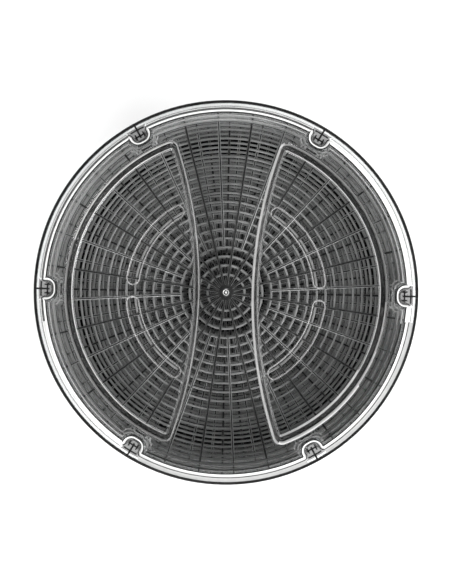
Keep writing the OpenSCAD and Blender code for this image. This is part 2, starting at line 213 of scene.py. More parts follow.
def put(name, data, looks, body, nodes=(), height=0):
    """A finished piece: linked into the scene, coloured, and riding on its body."""
    obj = bpy.data.objects.new(name, data)
    scene.collection.objects.link(obj)
    for look in looks:
        data.materials.append(materials[look])
    obj.location.z = height
    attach(obj, body)
    if nodes:
        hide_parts(*nodes)
    return obj


def weighted(obj):
    """Shades an object's roundings without bending the light on its flat faces."""
    modifier = obj.modifiers.new("flat_faces_first", "WEIGHTED_NORMAL")
    modifier.keep_sharp = True


# ---------------------------------------------------------------- outlines

POCKET_POINTS = 16
WALL_POINTS = 12
WELL_OUTER_POINTS = 60
WELL_CORNER_POINTS = 8
WELL_INNER_POINTS = 40
VENT_POINTS = 24
VENT_END_POINTS = 8


def pocket_mouth(r, half, mouth):
    """Where the fillet at a pocket's mouth is centred along X, and the angle at which it meets the wall."""
    x = math.sqrt((r - mouth) ** 2 - (half + mouth) ** 2)
    return x, math.degrees(math.atan2(half + mouth, x))


def around(upper):
    """A whole outline from the half of one pocket's sector above the X axis."""
    sector = np.vstack((upper[1:][::-1] * (1, -1), upper))[:-1]
    return np.vstack([turned(sector, 360 / POCKETS * k) for k in range(POCKETS)])


def walled(r, inset):
    """The outline of a wall of radius r and its six pockets, which grow as the wall moves in by inset."""
    half = POCKET_W / 2 + inset
    bottom = POCKET_FOOT_R - inset
    mouth = max(POCKET_MOUTH_R - inset, 0.4)
    mouth_x, mouth_a = pocket_mouth(r, half, mouth)
    corner = min(POCKET_CORNER_R + inset, mouth_x - bottom - 0.2)
    return around(np.vstack((
        [(bottom, 0)],
        arc(bottom + corner, half - corner, corner, 180, 90, 6),
        np.linspace((bottom + corner, half), (mouth_x, half), 4)[1:-1],
        arc(mouth_x, half + mouth, mouth, -90, mouth_a, 5),
        arc(0, 0, r, mouth_a, 180 / POCKETS, WALL_POINTS)[1:],
    )))


def plain(r):
    """A circle with as many points as a walled outline has, so that the two join."""
    mouth_a = pocket_mouth(CROWN_FOOT_R, POCKET_W / 2, POCKET_MOUTH_R)[1]
    return around(np.vstack((
        arc(0, 0, r, 0, mouth_a, POCKET_POINTS - 1),
        arc(0, 0, r, mouth_a, 180 / POCKETS, WALL_POINTS)[1:],
    )))


def well(grow):
    """The outline of a finger well on +X: the lens between two arcs, with rounded corners."""
    big_x = WELL_INNER_X + WELL_INNER_R
    near = WELL_OUTER_R - WELL_CORNER_R
    far = WELL_INNER_R - WELL_CORNER_R
    x = (near ** 2 - far ** 2 + big_x ** 2) / (2 * big_x)
    y = math.sqrt(near ** 2 - x ** 2)
    outer = math.degrees(math.atan2(y, x))
    inner = math.degrees(math.atan2(y, x - big_x))
    return np.vstack((
        arc(0, 0, WELL_OUTER_R + grow, -outer, outer, WELL_OUTER_POINTS)[:-1],
        arc(x, y, WELL_CORNER_R + grow, outer, inner, WELL_CORNER_POINTS)[:-1],
        arc(big_x, 0, WELL_INNER_R + grow, inner, 360 - inner, WELL_INNER_POINTS)[:-1],
        arc(x, -y, WELL_CORNER_R + grow, 360 - inner, 360 - outer, WELL_CORNER_POINTS)[:-1],
    ))


def vent(grow):
    """A slot along an arc, with round ends."""
    half = VENT_W / 2 + grow
    ends = arc(0, 0, VENT_R, VENT_END, VENT_START, 1)
    return np.vstack((
        arc(0, 0, VENT_R + half, VENT_START, VENT_END, VENT_POINTS)[:-1],
        arc(*ends[0], half, VENT_END, VENT_END + 180, VENT_END_POINTS)[:-1],
        arc(0, 0, VENT_R - half, VENT_END, VENT_START, VENT_POINTS)[:-1],
        arc(*ends[1], half, VENT_START + 180, VENT_START + 360, VENT_END_POINTS)[:-1],
    ))


# ---------------------------------------------------------------- trays

def rib(shell, path, sideways, profile, look, capped=True):
    """A bar: the profile (across, up) carried along a path of points at the foot of the bar."""
    rows = []
    for p, s in zip(path, sideways):
        rows.append(shell.add([(p[0] + s[0] * a, p[1] + s[1] * a, p[2] + u) for a, u in profile]))
    for low, high in zip(rows, rows[1:]):
        shell.strip(low, high, look)
    if capped:
        shell.cap(rows[0])
        shell.cap(rows[-1], flip=True)
    return rows


# Profiles are (across, up), and a gusset's is (along the wall, inwards).
RING_PROFILE = [(-1.2, 0.15), (-1.2, 0.45), (-0.95, 0.82), (-0.5, 1.0), (0, RING_T),
                (0.5, 1.0), (0.95, 0.82), (1.2, 0.45), (1.2, 0.15), (1.05, 0), (-1.05, 0)]
RING_TOP = (2, 3, 4, 5)
LONG_SPOKE = [(-1.05, 0.1), (-1.05, 0.7), (-0.9, 0.98), (-0.7, 1.2),
              (0.7, 1.2), (0.9, 0.98), (1.05, 0.7), (1.05, 0.1), (0.9, 0), (-0.9, 0)]
SHORT_SPOKE = [(-1.1, 0.1), (-1.1, 0.7), (-1.0, 0.95), (-0.5, 1.2),
               (0.5, 1.2), (1.0, 0.95), (1.1, 0.7), (1.1, 0.1), (0.9, 0), (-0.9, 0)]
SPOKE_EDGES = (1, 2, 4, 5)
GUSSET_PROFILE = [(-0.6, 0), (-0.6, 1.0), (-0.35, 1.3), (0.35, 1.3), (0.6, 1.0), (0.6, 0)]
GUSSET_TAPER = 1.2
# (radius, foot, top) of the gusset below the seat and of the one above it
GUSSETS = ((153.2, BOTTOM + 2.0, SEAT + 4), (WALL_INNER_R + 0.4, SEAT + 1.7, SEAT + 10))

# A tray piece's looks in the order of their numbers, and the numbers of its second and third.
TRAY_LOOKS = {"wall": ("tray_wall", "tray_rim", "tray_spokes"),
              "rings": ("tray_rings", "tray_spokes"),
              "spokes": ("tray_spokes", "long_edge", "short_edge")}
# The wall's painted highlight look and its painted shade look.
HIGHLIGHT_EDGE, SHADE_EDGE = 1, 2
# The look of a ring's sides: painted shade.
RING_SIDE_SHADE = 1
# The looks of the painted highlights on the long and the short spokes' edges.
LONG_HIGHLIGHT, SHORT_HIGHLIGHT = 1, 2
# The numbers of the strips of a tray's wall that carry a painted highlight or painted shade, counted from
# its rim inwards.
WALL_LOOKS = {i: HIGHLIGHT_EDGE for i in (0, 1, 2, 3, 4, 8, 9, 12, 13)}
WALL_LOOKS.update({i: SHADE_EDGE for i in (6, 7, 10, 14)})


def ring_light_and_shade(i):
    """A ring's top is painted light, its sides and under side are painted dark: painted light and shade."""
    return 0 if i in RING_TOP else RING_SIDE_SHADE


def ring(shell, r, z, start=0, end=360):
    """A ring of the grid, whole or between two angles."""
    whole = end - start >= 360
    steps = int((end - start) / RING_STEP)
    line = arc(0, 0, 1, start, end, steps)
    if whole:
        line = line[:-1]
    rows = rib(shell, at_height(line * r, z), line, RING_PROFILE, ring_light_and_shade, capped=not whole)
    if whole:
        shell.strip(rows[-1], rows[0], ring_light_and_shade)


def spoke(shell, degrees, start, end, profile, edge):
    """A spoke between two radii, its core in painted shade. edge is the look of the painted highlight on
    its two rounded edges.
    """
    line = turned(np.array([(start, 0), (end, 0)]), degrees)
    across = turned(np.array([(0, 1), (0, 1)]), degrees)
    looks = [edge if i in SPOKE_EDGES else 0 for i in range(len(profile))]
    rib(shell, at_height(line, SPOKE_FOOT), across, profile, looks.__getitem__)


def gusset(shell, degrees, r, low, high):
    """An upright rib on the inside of the wall, above a spoke's end, coloured dark as painted shade."""
    inward = turned(np.array([(-1, 0)]), degrees)[0]
    across = turned(np.array([(0, 1)]), degrees)[0]
    rows = []
    for z, depth in ((low, 1.0), (high - GUSSET_TAPER, 1.0), (high, 0.15)):
        flat = [across * a + inward * (u * depth - r) for a, u in GUSSET_PROFILE]
        rows.append(shell.add([(x, y, z) for x, y in flat]))
    for low_row, high_row in zip(rows, rows[1:]):
        shell.strip(low_row, high_row, SHADE_EDGE)
    for row, flip in ((rows[0], False), (rows[-1], True)):
        shell.looks[len(shell.faces)] = SHADE_EDGE
        shell.cap(row, flip)


def off_pocket(degrees):
    """The angle to the nearest pocket's middle."""
    step = 360 / POCKETS
    return abs((degrees + step / 2) % step - step / 2)


def tray_wall_mesh():
    """A tray's wall with its seat, skirt and edge band, and the gussets inside it."""
    shell = Shell()
    section = [
        (WALL_R, 0, -0.7), (WALL_R - 0.2, 0.2, -0.2), (WALL_R - 0.6, 0.6, 0),
        (WALL_INNER_R + 0.6, 1.2, 0), (WALL_INNER_R + 0.2, 1.6, -0.2), (WALL_INNER_R, 1.8, -0.7),
        (WALL_INNER_R, 1.8, SEAT + 2.9), (WALL_INNER_R - 0.2, 2.0, SEAT + 2.1),
        (WALL_INNER_R - 0.8, 2.6, SEAT + WALL_T), (153.4, 3.6, SEAT + WALL_T),
        (152.95, 4.05, SEAT + 1.65), (152.8, 4.2, SEAT + 1.2),
        (152.8, 4.2, BOTTOM + 3.0), (152.6, 4.4, BOTTOM + 2.5), (150.9, 5.1, BOTTOM + 2.2),
        (150.5, 5.3, BOTTOM + 1.9), (150.4, 5.4, BOTTOM + 0.4), (150.8, 5.2, BOTTOM),
        (154.0, 3.0, BOTTOM), (154.45, 2.55, BOTTOM + 0.2), (154.6, 2.4, BOTTOM + 0.6),
        (154.6, 2.4, SEAT - 0.4), (154.75, 2.25, SEAT - 0.1), (155.1, 1.9, SEAT),
        (WALL_R - 0.5, 0.5, SEAT), (WALL_R - 0.15, 0.15, SEAT + 0.15), (WALL_R, 0, SEAT + 0.5),
    ]
    loops = [at_height(walled(r, inset), z) for r, inset, z in section]
    shell.loft(loops, ring=True, looks=WALL_LOOKS)
    for k in range(2 * SPOKE_COUNT):
        degrees = k * 180 / SPOKE_COUNT
        if off_pocket(degrees) > POCKET_REACH:
            for r, low, high in GUSSETS:
                gusset(shell, degrees, r, low, high)
    return shell.mesh("tray_wall")


def tray_rings_mesh():
    """The rings of a tray's grid, the last of them broken by the pockets."""
    shell = Shell()
    for n in range(2, LAST_RING):
        ring(shell, n * RING_PITCH, BOTTOM)
    for k in range(POCKETS):
        middle = 360 / POCKETS * (k + 0.5)
        half = 180 / POCKETS - POCKET_REACH
        ring(shell, LAST_RING * RING_PITCH, BOTTOM, middle - half, middle + half)
    return shell.mesh("tray_rings")


def tray_spokes_mesh():
    """The hub and the spokes, which lie on the rings."""
    shell = Shell()
    for k in range(2 * SPOKE_COUNT):
        degrees = k * 180 / SPOKE_COUNT
        end = SPOKE_END if off_pocket(degrees) > POCKET_REACH else SPOKE_END_AT_POCKET
        if k % 2 == 0:
            spoke(shell, degrees, HUB_R - HUB_OVERLAP, end, LONG_SPOKE, LONG_HIGHLIGHT)
        else:
            spoke(shell, degrees, SHORT_SPOKE_RING * RING_PITCH, end, SHORT_SPOKE, SHORT_HIGHLIGHT)
    hub = [(HUB_R - 0.3, 0), (HUB_R, 0.3), (HUB_R, 1.7), (HUB_R - 0.4, 2.2),
           (4.2, 2.25), (3.6, 1.7), (2.4, 1.5), (0.8, 1.45)]
    rows = shell.loft([at_height(circle(r, 40), BOTTOM + z) for r, z in hub])
    shell.cap(rows[0], flip=True)
    shell.cap(rows[-1])
    return shell.mesh("tray_spokes")


# ---------------------------------------------------------------- lid

def well_path(wall):
    """The well's wall from its rim to its floor, as (growth, height) under the crown's top.
    wall is 0 for the upper surface and the wall's thickness for the under side."""
    drop = WELL_DEPTH - WELL_RIM - WELL_FOOT
    lean = WELL_LEAN / WELL_DEPTH * drop
    rim = [math.radians(a) for a in (0, 22, 45, 67, 86)]
    foot = [math.radians(a) for a in (0, 22, 45, 67, 90)]
    top = WELL_RIM - wall
    low = WELL_FOOT + wall
    steps = [(0.2 + WELL_RIM - top * math.sin(a), top * math.cos(a) - WELL_RIM) for a in rim]
    floor_z = WELL_FOOT - WELL_DEPTH
    g, z = steps[-1]
    steps.append((g - 0.2 * lean, z - 0.2 * drop))
    return steps + [(-lean - WELL_FOOT + low * math.cos(a), floor_z - low * math.sin(a)) for a in foot]


def crown_path(wall):
    """The crown's side from its foot to its top, as (shrink, pocket growth, height) over the flange."""
    straight = CROWN_H - CROWN_RIM
    lean = CROWN_LEAN / CROWN_H * straight
    top = CROWN_RIM - wall
    steps = [(wall + lean * t, wall + t, straight * t) for t in (0.12, 0.5, 1)]
    for a in (22, 45, 67, 90):
        t = math.radians(a)
        inward = CROWN_RIM - top * math.cos(t)
        steps.append((lean + inward, 1.0 + inward, straight + top * math.sin(t)))
    return steps


# The lid's edges are clear plastic too. Darker and lighter looks on its roundings and steep faces are
# painted shade and painted highlights, which stand for the light that they bend.
LID_LOOKS = ("lid_clear", "lid_edge", "lid_bright", "lid_sheen", "lid_faint", "lid_soft", "lid_smoke",
             "lid_line", "lid_deep", "lid_pale")
DARK, BRIGHT, SHEEN, FAINT, SOFT, GREY_SHADE, LINE, DEEP, PALE = range(1, len(LID_LOOKS))
INNER_ARC_START = WELL_OUTER_POINTS + WELL_CORNER_POINTS // 2
INNER_ARC_END = INNER_ARC_START + WELL_CORNER_POINTS + WELL_INNER_POINTS


def along(outer, inner, start=None, until=22):
    """A look for a well's outer arc and another for its inner arc. start is a look for the outer arc's
    beginning, as far as the point until."""
    def look(n):
        if INNER_ARC_START <= n < INNER_ARC_END:
            return inner
        return outer if start is None or until <= n < INNER_ARC_END else start
    return look


# The painted highlights and painted shade on the strips of the wells on +X and -X, by their number
# counted from the rim down.
WELL_LOOKS = {
    0: {0: along(0, SOFT), 1: along(0, SOFT, SHEEN, 15), 2: along(FAINT, SOFT, SHEEN, 21),
        3: along(FAINT, DEEP, SHEEN, 25), 4: along(FAINT, DEEP, SHEEN, 29), 5: DEEP,
        6: along(DEEP, FAINT), 7: along(SHEEN, FAINT), 8: along(0, 0, SHEEN, 17)},
    180: {1: along(0, FAINT), 2: FAINT, 3: along(FAINT, DEEP), 4: along(FAINT, DEEP, SHEEN), 5: DEEP,
          6: along(DEEP, FAINT), 7: along(SHEEN, FAINT)},
}


# Stretches of the crown's foot by azimuth, each with its own painted highlights and painted shade.
SHADED = (62, 190)
FRONT = (240, 352)


def zone(azimuth):
    """The stretch of the crown's foot that an azimuth is in."""
    if off_pocket(azimuth) < CROWN_POCKET_REACH:
        return "pocket"
    if SHADED[0] < azimuth < SHADED[1]:
        return "shaded"
    return "front" if FRONT[0] < azimuth < FRONT[1] else "clear"


def crown_looks(foot, upper):
    """The painted highlights and painted shade on the lid's upper strips, which change with azimuth. foot
    is the number of the first strip that follows the pockets, upper that of the first one on the crown's
    top."""
    zones = [zone(math.degrees(math.atan2(y, x)) % 360) for x, y in walled(CROWN_FOOT_R, 0)]

    def by_zone(pocket, shaded, clear, front):
        return lambda n: {"pocket": pocket, "shaded": shaded, "clear": clear, "front": front}[zones[n]]

    looks = {i: DARK for i in (0, 1, *range(3, foot - 2))}
    looks[foot - 2] = by_zone(0, 0, 0, PALE)
    looks[foot - 1] = looks[foot] = by_zone(GREY_SHADE, 0, 0, PALE)
    looks[foot + 1] = by_zone(DARK, BRIGHT, BRIGHT, DARK)
    looks[foot + 2] = by_zone(DARK, DARK, BRIGHT, DARK)
    looks[foot + 3] = by_zone(DARK, DARK, BRIGHT, BRIGHT)
    for i in (foot + 4, foot + 5, foot + 6):
        looks[i] = by_zone(BRIGHT, DARK, BRIGHT, BRIGHT)
    looks[upper - 2] = BRIGHT
    looks[upper - 1] = by_zone(DARK, BRIGHT, BRIGHT, DARK)
    looks[upper] = by_zone(0, DEEP, DEEP, 0)
    looks[upper + 2] = looks[upper + 4] = by_zone(LINE, LINE, LINE, 0)
    return looks


def add_wells(shell):
    """The two finger wells with their floors and vents. Gives their rims in the upper and under surface."""
    well_rims = ([], [])
    for side, looks in WELL_LOOKS.items():
        floors = []
        for layer, wall in enumerate((0, WALL_T)):
            outline = [at_height(turned(well(g), side), crown_z + z) for g, z in well_path(wall)]
            well_rows = shell.loft(outline, looks=None if layer else looks)
            well_rims[layer].append(well_rows[0])
            floors.append([well_rows[-1]])
        for mirror in (1, -1):
            # Each vent's edge gets a painted highlight line, a painted sheen and painted shade.
            vent_rows = shell.loft([
                at_height(turned(vent(g) * (1, mirror), side), crown_z - WELL_DEPTH + z)
                for g, z in ((1.3, 0), (0.45, -0.05), (0.2, -0.18), (0, -0.6),
                             (0, 0.6 - WALL_T), (0.25, 0.12 - WALL_T), (0.7, -WALL_T))
            ], looks={0: LINE, 1: SHEEN, 2: DEEP})
            floors[0].append(vent_rows[0])
            floors[1].append(vent_rows[-1])
        for rows in floors:
            shell.fill(rows)
    return well_rims


def lid_mesh():
    """The lid as one closed shell: up its skirt, over the flange and the crown, and back below them."""
    shell = Shell()
    foot_z = flange_z - SKIRT_H
    under_z = flange_z - WALL_T
    skirt_in = LID_R - WALL_T
    outside = [(LID_R - 0.5, foot_z), (LID_R - 0.1, foot_z + 0.15), (LID_R, foot_z + 0.5),
               (LID_R, flange_z - 1.6), (LID_R - 0.25, flange_z - 0.8), (LID_R - 0.9, flange_z - 0.2),
               (LID_R - 2.7, flange_z), (158.4, flange_z)]
    inside = [(skirt_in - 1.0, under_z), (skirt_in - 0.3, under_z - 0.25), (skirt_in, under_z - 0.9),
              (skirt_in, foot_z + 0.5), (skirt_in + 0.15, foot_z + 0.1), (LID_R - 0.9, foot_z)]
    lip = [(154.6, 2.4, -1.6), (154.6, 2.4, -7.2), (154.4, 2.6, -7.7), (154.0, 3.0, -7.8),
           (153.4, 3.6, -7.8), (153.0, 4.0, -7.7), (152.8, 4.2, -7.2), (152.8, 4.2, -0.7),
           (153.0, 4.0, -0.2), (153.5, 3.3, 0), (154.2, 2.3, 0.05)]
    loops = [at_height(plain(r), z) for r, z in outside]
    for r, pocket, z in [(157.9, -0.9, 0), (157.1, -0.4, 0.1), (156.55, -0.05, 0.4)]:
        loops.append(at_height(walled(r, pocket), flange_z + z))
    loops += [at_height(walled(CROWN_FOOT_R - s, p), flange_z + z) for s, p, z in crown_path(0)]
    upper = len(loops) - 1
    shrink, pocket, top = crown_path(0)[-1]
    for s in (1.2, 2.4, 3.6, 5.8, 7.0):
        loops.append(at_height(walled(CROWN_FOOT_R - shrink - s, pocket + s / 2), flange_z + top))
    rows = shell.loft(loops, looks=crown_looks(len(outside), upper))
    under = [at_height(walled(CROWN_FOOT_R - s, p), flange_z + z)
             for s, p, z in reversed(crown_path(WALL_T))]
    under += [at_height(walled(r, p), flange_z + z) for r, p, z in reversed(lip)]
    under += [at_height(plain(r), z) for r, z in inside]
    # The skirt's inner foot and its bottom are painted dark: painted shade.
    under_rows = shell.loft(under, looks={len(under) - 3: DARK, len(under) - 2: DARK})
    shell.strip(under_rows[-1], rows[0], DARK)

    well_rims = add_wells(shell)
    gate = [(2.8, 0), (2.5, -0.12), (2.1, -0.55), (1.3, -0.6), (0.9, -0.3), (0.3, -0.15)]
    gate_loops = [at_height(circle(r, 32), crown_z + z) for r, z in gate]
    # The gate mark gets a painted sheen, a painted shade ring and a painted highlight.
    gate_rows = shell.loft(gate_loops, looks={1: SHEEN, 3: DARK, 4: BRIGHT})
    shell.cap(gate_rows[-1])
    shell.fill([rows[-1]] + well_rims[0] + [gate_rows[0]])
    shell.fill([under_rows[0]] + well_rims[1])
    return shell.mesh("lid")


POCKET_RIB = [(-0.75, 0), (-0.75, 1.0), (-0.45, 1.35), (0.45, 1.35), (0.75, 1.0), (0.75, 0)]
POCKET_BEAD = [(a * 0.8, u * 0.8) for a, u in POCKET_RIB]
# Straight bars as (offset, start, end, profile), and bent ones as (radius, half angle).
STRAIGHT_BARS = ((0, 149.3, 161.2, POCKET_RIB),
                 (-3.6, 148.6, 153.4, POCKET_BEAD),
                 (3.6, 148.6, 153.4, POCKET_BEAD))
BENT_BARS = ((151.0, 1.7), (156.4, 2.3))


def lid_ribs_mesh():
    """A rib and two beads along each of the lid's pockets, and two beads across it, all in the lid's dark
    edge look: painted shade.
    """
    shell = Shell()
    z = flange_z - 0.3
    for k in range(POCKETS):
        turn = 360 / POCKETS * k
        across = turned(np.array([(0, 1), (0, 1)]), turn)
        for offset, start, end, profile in STRAIGHT_BARS:
            line = turned(np.array([(start, offset), (end, offset)]), turn)
            rib(shell, at_height(line, z), across, profile, DARK)
        for r, half in BENT_BARS:
            line = arc(0, 0, 1, turn - half, turn + half, 6)
            rib(shell, at_height(line * r, z), line, POCKET_BEAD, DARK)
    return shell.mesh("lid_ribs")


# ---------------------------------------------------------------- print on the control panel

DIAL_MARKS = 11
DIAL_STEP = -27
DIAL_R = 18.5


def knob_middle():
    low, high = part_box("thermostat_knob")
    return (low[2] + high[2]) / 2 / MM


def print_pad(shell, outline, front):
    """A printed mark on a face that looks to the front, placed from the knob's middle: a thin pad with a
    rounded edge."""
    centre_z = knob_middle()

    def at(shrink, y):
        middle = outline.mean(axis=0)
        away = outline - middle
        length = np.linalg.norm(away, axis=1, keepdims=True)
        flat = middle + away * (length - shrink) / length
        return np.column_stack((flat[:, 0], np.full(len(flat), y), flat[:, 1] + centre_z))

    rows = shell.loft([at(0, front + 0.1), at(0, front - 0.08), at(0.12, front - 0.14)])
    shell.cap(rows[0])
    shell.cap(rows[-1], flip=True)


def bar(start, end, width):
    """The outline of an upright bar with round ends, between two distances above the middle."""
    half = width / 2
    return np.vstack((arc(0, end, half, 0, 180, 8), arc(0, start, half, 180, 360, 8)))


def dial_marks_mesh():
    """Eleven marks around the knob, the first of them a broad one at the top."""
    shell = Shell()
    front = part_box("control_fascia")[0][1] / MM
    for n in range(DIAL_MARKS):
        if n == 0:
            mark = bar(DIAL_R + 0.1, DIAL_R + 1.1, 1.8)
        else:
            mark = bar(DIAL_R, DIAL_R + 0.16 * n, 0.55 + 0.03 * n)
        print_pad(shell, turned(mark, DIAL_STEP * n), front)
    return shell.mesh("dial_marks")


def knob_pointer_mesh():
    """The white line on the knob's grip."""
    shell = Shell()
    print_pad(shell, bar(4.0, 14.0, 1.3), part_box("thermostat_knob")[0][1] / MM)
    return shell.mesh("knob_pointer")


# ---------------------------------------------------------------- materials

NOISE_RANGE = (0.3, 0.7)


def fill_ramp(ramp, stops):
    """Puts stops of (position, colour) on a colour ramp node."""
    elements = ramp.color_ramp.elements
    elements[1].position = stops[-1][0]
    for at, _ in stops[1:-1]:
        elements.new(at)
    for element, (at, colour) in zip(elements, stops):
        element.position = at
        element.color = (*colour, 1)


class Graph:
    """A material's node tree, with short ways to add and join nodes."""

    def __init__(self, name):
        self.material = bpy.data.materials.new(name)
        self.material.use_nodes = True
        self.tree = self.material.node_tree
        self.shader = self.tree.nodes["Principled BSDF"]
        self.place = self.node("ShaderNodeTexCoord").outputs["Object"]

    def node(self, kind, **settings):
        made = self.tree.nodes.new(kind)
        for key, value in settings.items():
            setattr(made, key, value)
        return made

    def join(self, a, b):
        self.tree.links.new(a, b)

    def set(self, **values):
        """Plain values on the shader's own sockets."""
        for key, value in values.items():
            self.shader.inputs[key.replace("_", " ")].default_value = value

    def colour(self, source):
        self.join(source, self.shader.inputs["Base Color"])

    def roughness(self, source):
        self.join(source, self.shader.inputs["Roughness"])

    def noise(self, scale, detail=2.0, roughness=0.5, stretch=None):
        made = self.node("ShaderNodeTexNoise")
        made.inputs["Scale"].default_value = scale
        made.inputs["Detail"].default_value = detail
        made.inputs["Roughness"].default_value = roughness
        source = self.place
        if stretch:
            mapping = self.node("ShaderNodeMapping")
            mapping.inputs["Scale"].default_value = stretch
            self.join(source, mapping.inputs["Vector"])
            source = mapping.outputs["Vector"]
        self.join(source, made.inputs["Vector"])
        return made.outputs["Fac"]

    def spread(self, value, low, high):
        """A texture value carried onto a range."""
        made = self.node("ShaderNodeMapRange")
        made.inputs["From Min"].default_value = NOISE_RANGE[0]
        made.inputs["From Max"].default_value = NOISE_RANGE[1]
        made.inputs["To Min"].default_value = low
        made.inputs["To Max"].default_value = high
        self.join(value, made.inputs["Value"])
        return made.outputs["Result"]

    def tint(self, value, dark, light):
        """A texture value carried onto the colours between two."""
        ramp = self.node("ShaderNodeValToRGB")
        fill_ramp(ramp, list(zip(NOISE_RANGE, (dark, light))))
        self.join(value, ramp.inputs["Fac"])
        return ramp.outputs["Color"]

    def bump(self, height, strength, distance):
        made = self.node("ShaderNodeBump")
        made.inputs["Strength"].default_value = strength
        made.inputs["Distance"].default_value = distance
        self.join(height, made.inputs["Height"])
        self.join(made.outputs["Normal"], self.shader.inputs["Normal"])

    def let_through(self, lamps):
        """How much of a lamp's light gets through a face."""
        path = self.node("ShaderNodeLightPath")
        through = self.node("ShaderNodeBsdfTransparent")
        through.inputs["Color"].default_value = (lamps, lamps, lamps, 1)
        mix = self.node("ShaderNodeMixShader")
        self.join(path.outputs["Is Shadow Ray"], mix.inputs["Fac"])
        self.join(self.shader.outputs["BSDF"], mix.inputs[1])
        self.join(through.outputs["BSDF"], mix.inputs[2])
        self.join(mix.outputs["Shader"], self.tree.nodes["Material Output"].inputs["Surface"])


def clear_plastic(name, face, edge, rough, absorb, lamps):
    """Polished clear plastic: faint flow marks in its surface, and a grey body that darkens with thickness.
    Seen along its surface its colour is painted dark, a painted shade for the light that glass bends away
    there."""
    g = Graph(name)
    g.set(Transmission_Weight=1.0, IOR=1.5)
    # Painted shade: the colour darkens where the surface is seen edge-on.
    graze = g.node("ShaderNodeLayerWeight")
    graze.inputs["Blend"].default_value = 0.5
    painted_edge_shade = g.node("ShaderNodeValToRGB")
    levels = ((0.0, face), (0.55, face * 0.97), (0.8, (face + edge) / 2), (0.97, edge))
    fill_ramp(painted_edge_shade, [(at, (level * 0.99, level, level)) for at, level in levels])
    g.join(graze.outputs["Facing"], painted_edge_shade.inputs["Fac"])
    flow = g.node("ShaderNodeMix", data_type="RGBA", blend_type="MULTIPLY")
    flow.inputs["Factor"].default_value = 1.0
    g.join(painted_edge_shade.outputs["Color"], flow.inputs["A"])
    g.join(g.tint(g.noise(40, 3), (0.97, 0.97, 0.97), (1, 1, 1)), flow.inputs["B"])
    g.colour(flow.outputs["Result"])
    g.roughness(g.spread(g.noise(90, 4, 0.6), rough * 0.6, rough * 1.5))
    g.bump(g.noise(30, 1.5), 0.01, 0.0005)
    g.let_through(lamps)
    body = g.node("ShaderNodeVolumeAbsorption")
    body.inputs["Color"].default_value = (0.55, 0.56, 0.56, 1)
    body.inputs["Density"].default_value = absorb
    g.join(body.outputs["Volume"], g.tree.nodes["Material Output"].inputs["Volume"])
    return g.material


def hazy_plastic(name, dark, light, rough, solid, grain=0.15, lamps=None):
    """Thin clear mouldings, partly see-through, with a grained surface. Most colours made with it here
    are painted highlights and painted shade.
    """
    g = Graph(name)
    g.set(Alpha=solid, IOR=1.57)
    g.colour(g.tint(g.noise(120, 4, 0.6), dark, light))
    g.roughness(g.spread(g.noise(260, 4, 0.6), rough * 0.7, rough * 1.3))
    g.bump(g.noise(700, 3, 0.6), grain, 0.0003)
    if lamps is not None:
        g.let_through(lamps)
    return g.material


def dark_edge(name, solid):
    """Painted shade for the steep and rounded faces of the lid, which turn the light away and so look dark.
    """
    g = Graph(name)
    g.set(Alpha=solid, Specular_IOR_Level=0.05)
    g.colour(g.tint(g.noise(60, 3), (0.009, 0.009, 0.009), (0.016, 0.016, 0.016)))
    g.roughness(g.spread(g.noise(90, 4, 0.6), 0.2, 0.32))
    g.bump(g.noise(200, 2), 0.03, 0.0003)
    return g.material


def matt_black():
    """Coarsely grained black plastic with next to no shine."""
    g = Graph("deck_black")
    g.set(Specular_IOR_Level=0.08)
    g.colour(g.tint(g.noise(14, 4, 0.6), (0.004, 0.004, 0.0043), (0.007, 0.007, 0.0075)))
    g.roughness(g.spread(g.noise(60, 4, 0.6), 0.55, 0.7))
    g.bump(g.noise(1400, 4, 0.7), 0.5, 0.0004)
    return g.material


def moulded(name, dark, light, rough, grain_scale, grain, shine=0.5):
    """Opaque moulded plastic with a fine spark-eroded grain."""
    g = Graph(name)
    g.set(Specular_IOR_Level=shine)
    g.colour(g.tint(g.noise(14, 4, 0.6), dark, light))
    g.roughness(g.spread(g.noise(60, 4, 0.6), rough * 0.85, rough * 1.15))
    g.bump(g.noise(grain_scale, 4, 0.7), grain, 0.0004)
    return g.material


def metal(name, dark, light, rough, stretch):
    """Drawn or rolled metal, brushed along one direction."""
    g = Graph(name)
    g.set(Metallic=1.0)
    streaks = g.noise(300, 3, 0.6, stretch)
    g.colour(g.tint(streaks, dark, light))
    g.roughness(g.spread(streaks, rough * 0.8, rough * 1.3))
    g.bump(streaks, 0.15, 0.0002)
    return g.material


def amber_lens():
    """The indicator's lens, which lets the lamp behind it shine through."""
    g = Graph("lens_amber")
    g.set(Transmission_Weight=0.6, IOR=1.49)
    g.colour(g.tint(g.noise(400, 3), (0.62, 0.16, 0.03), (0.80, 0.26, 0.06)))
    g.roughness(g.spread(g.noise(700, 3), 0.08, 0.2))
    g.bump(g.noise(900, 2), 0.2, 0.0003)
    return g.material


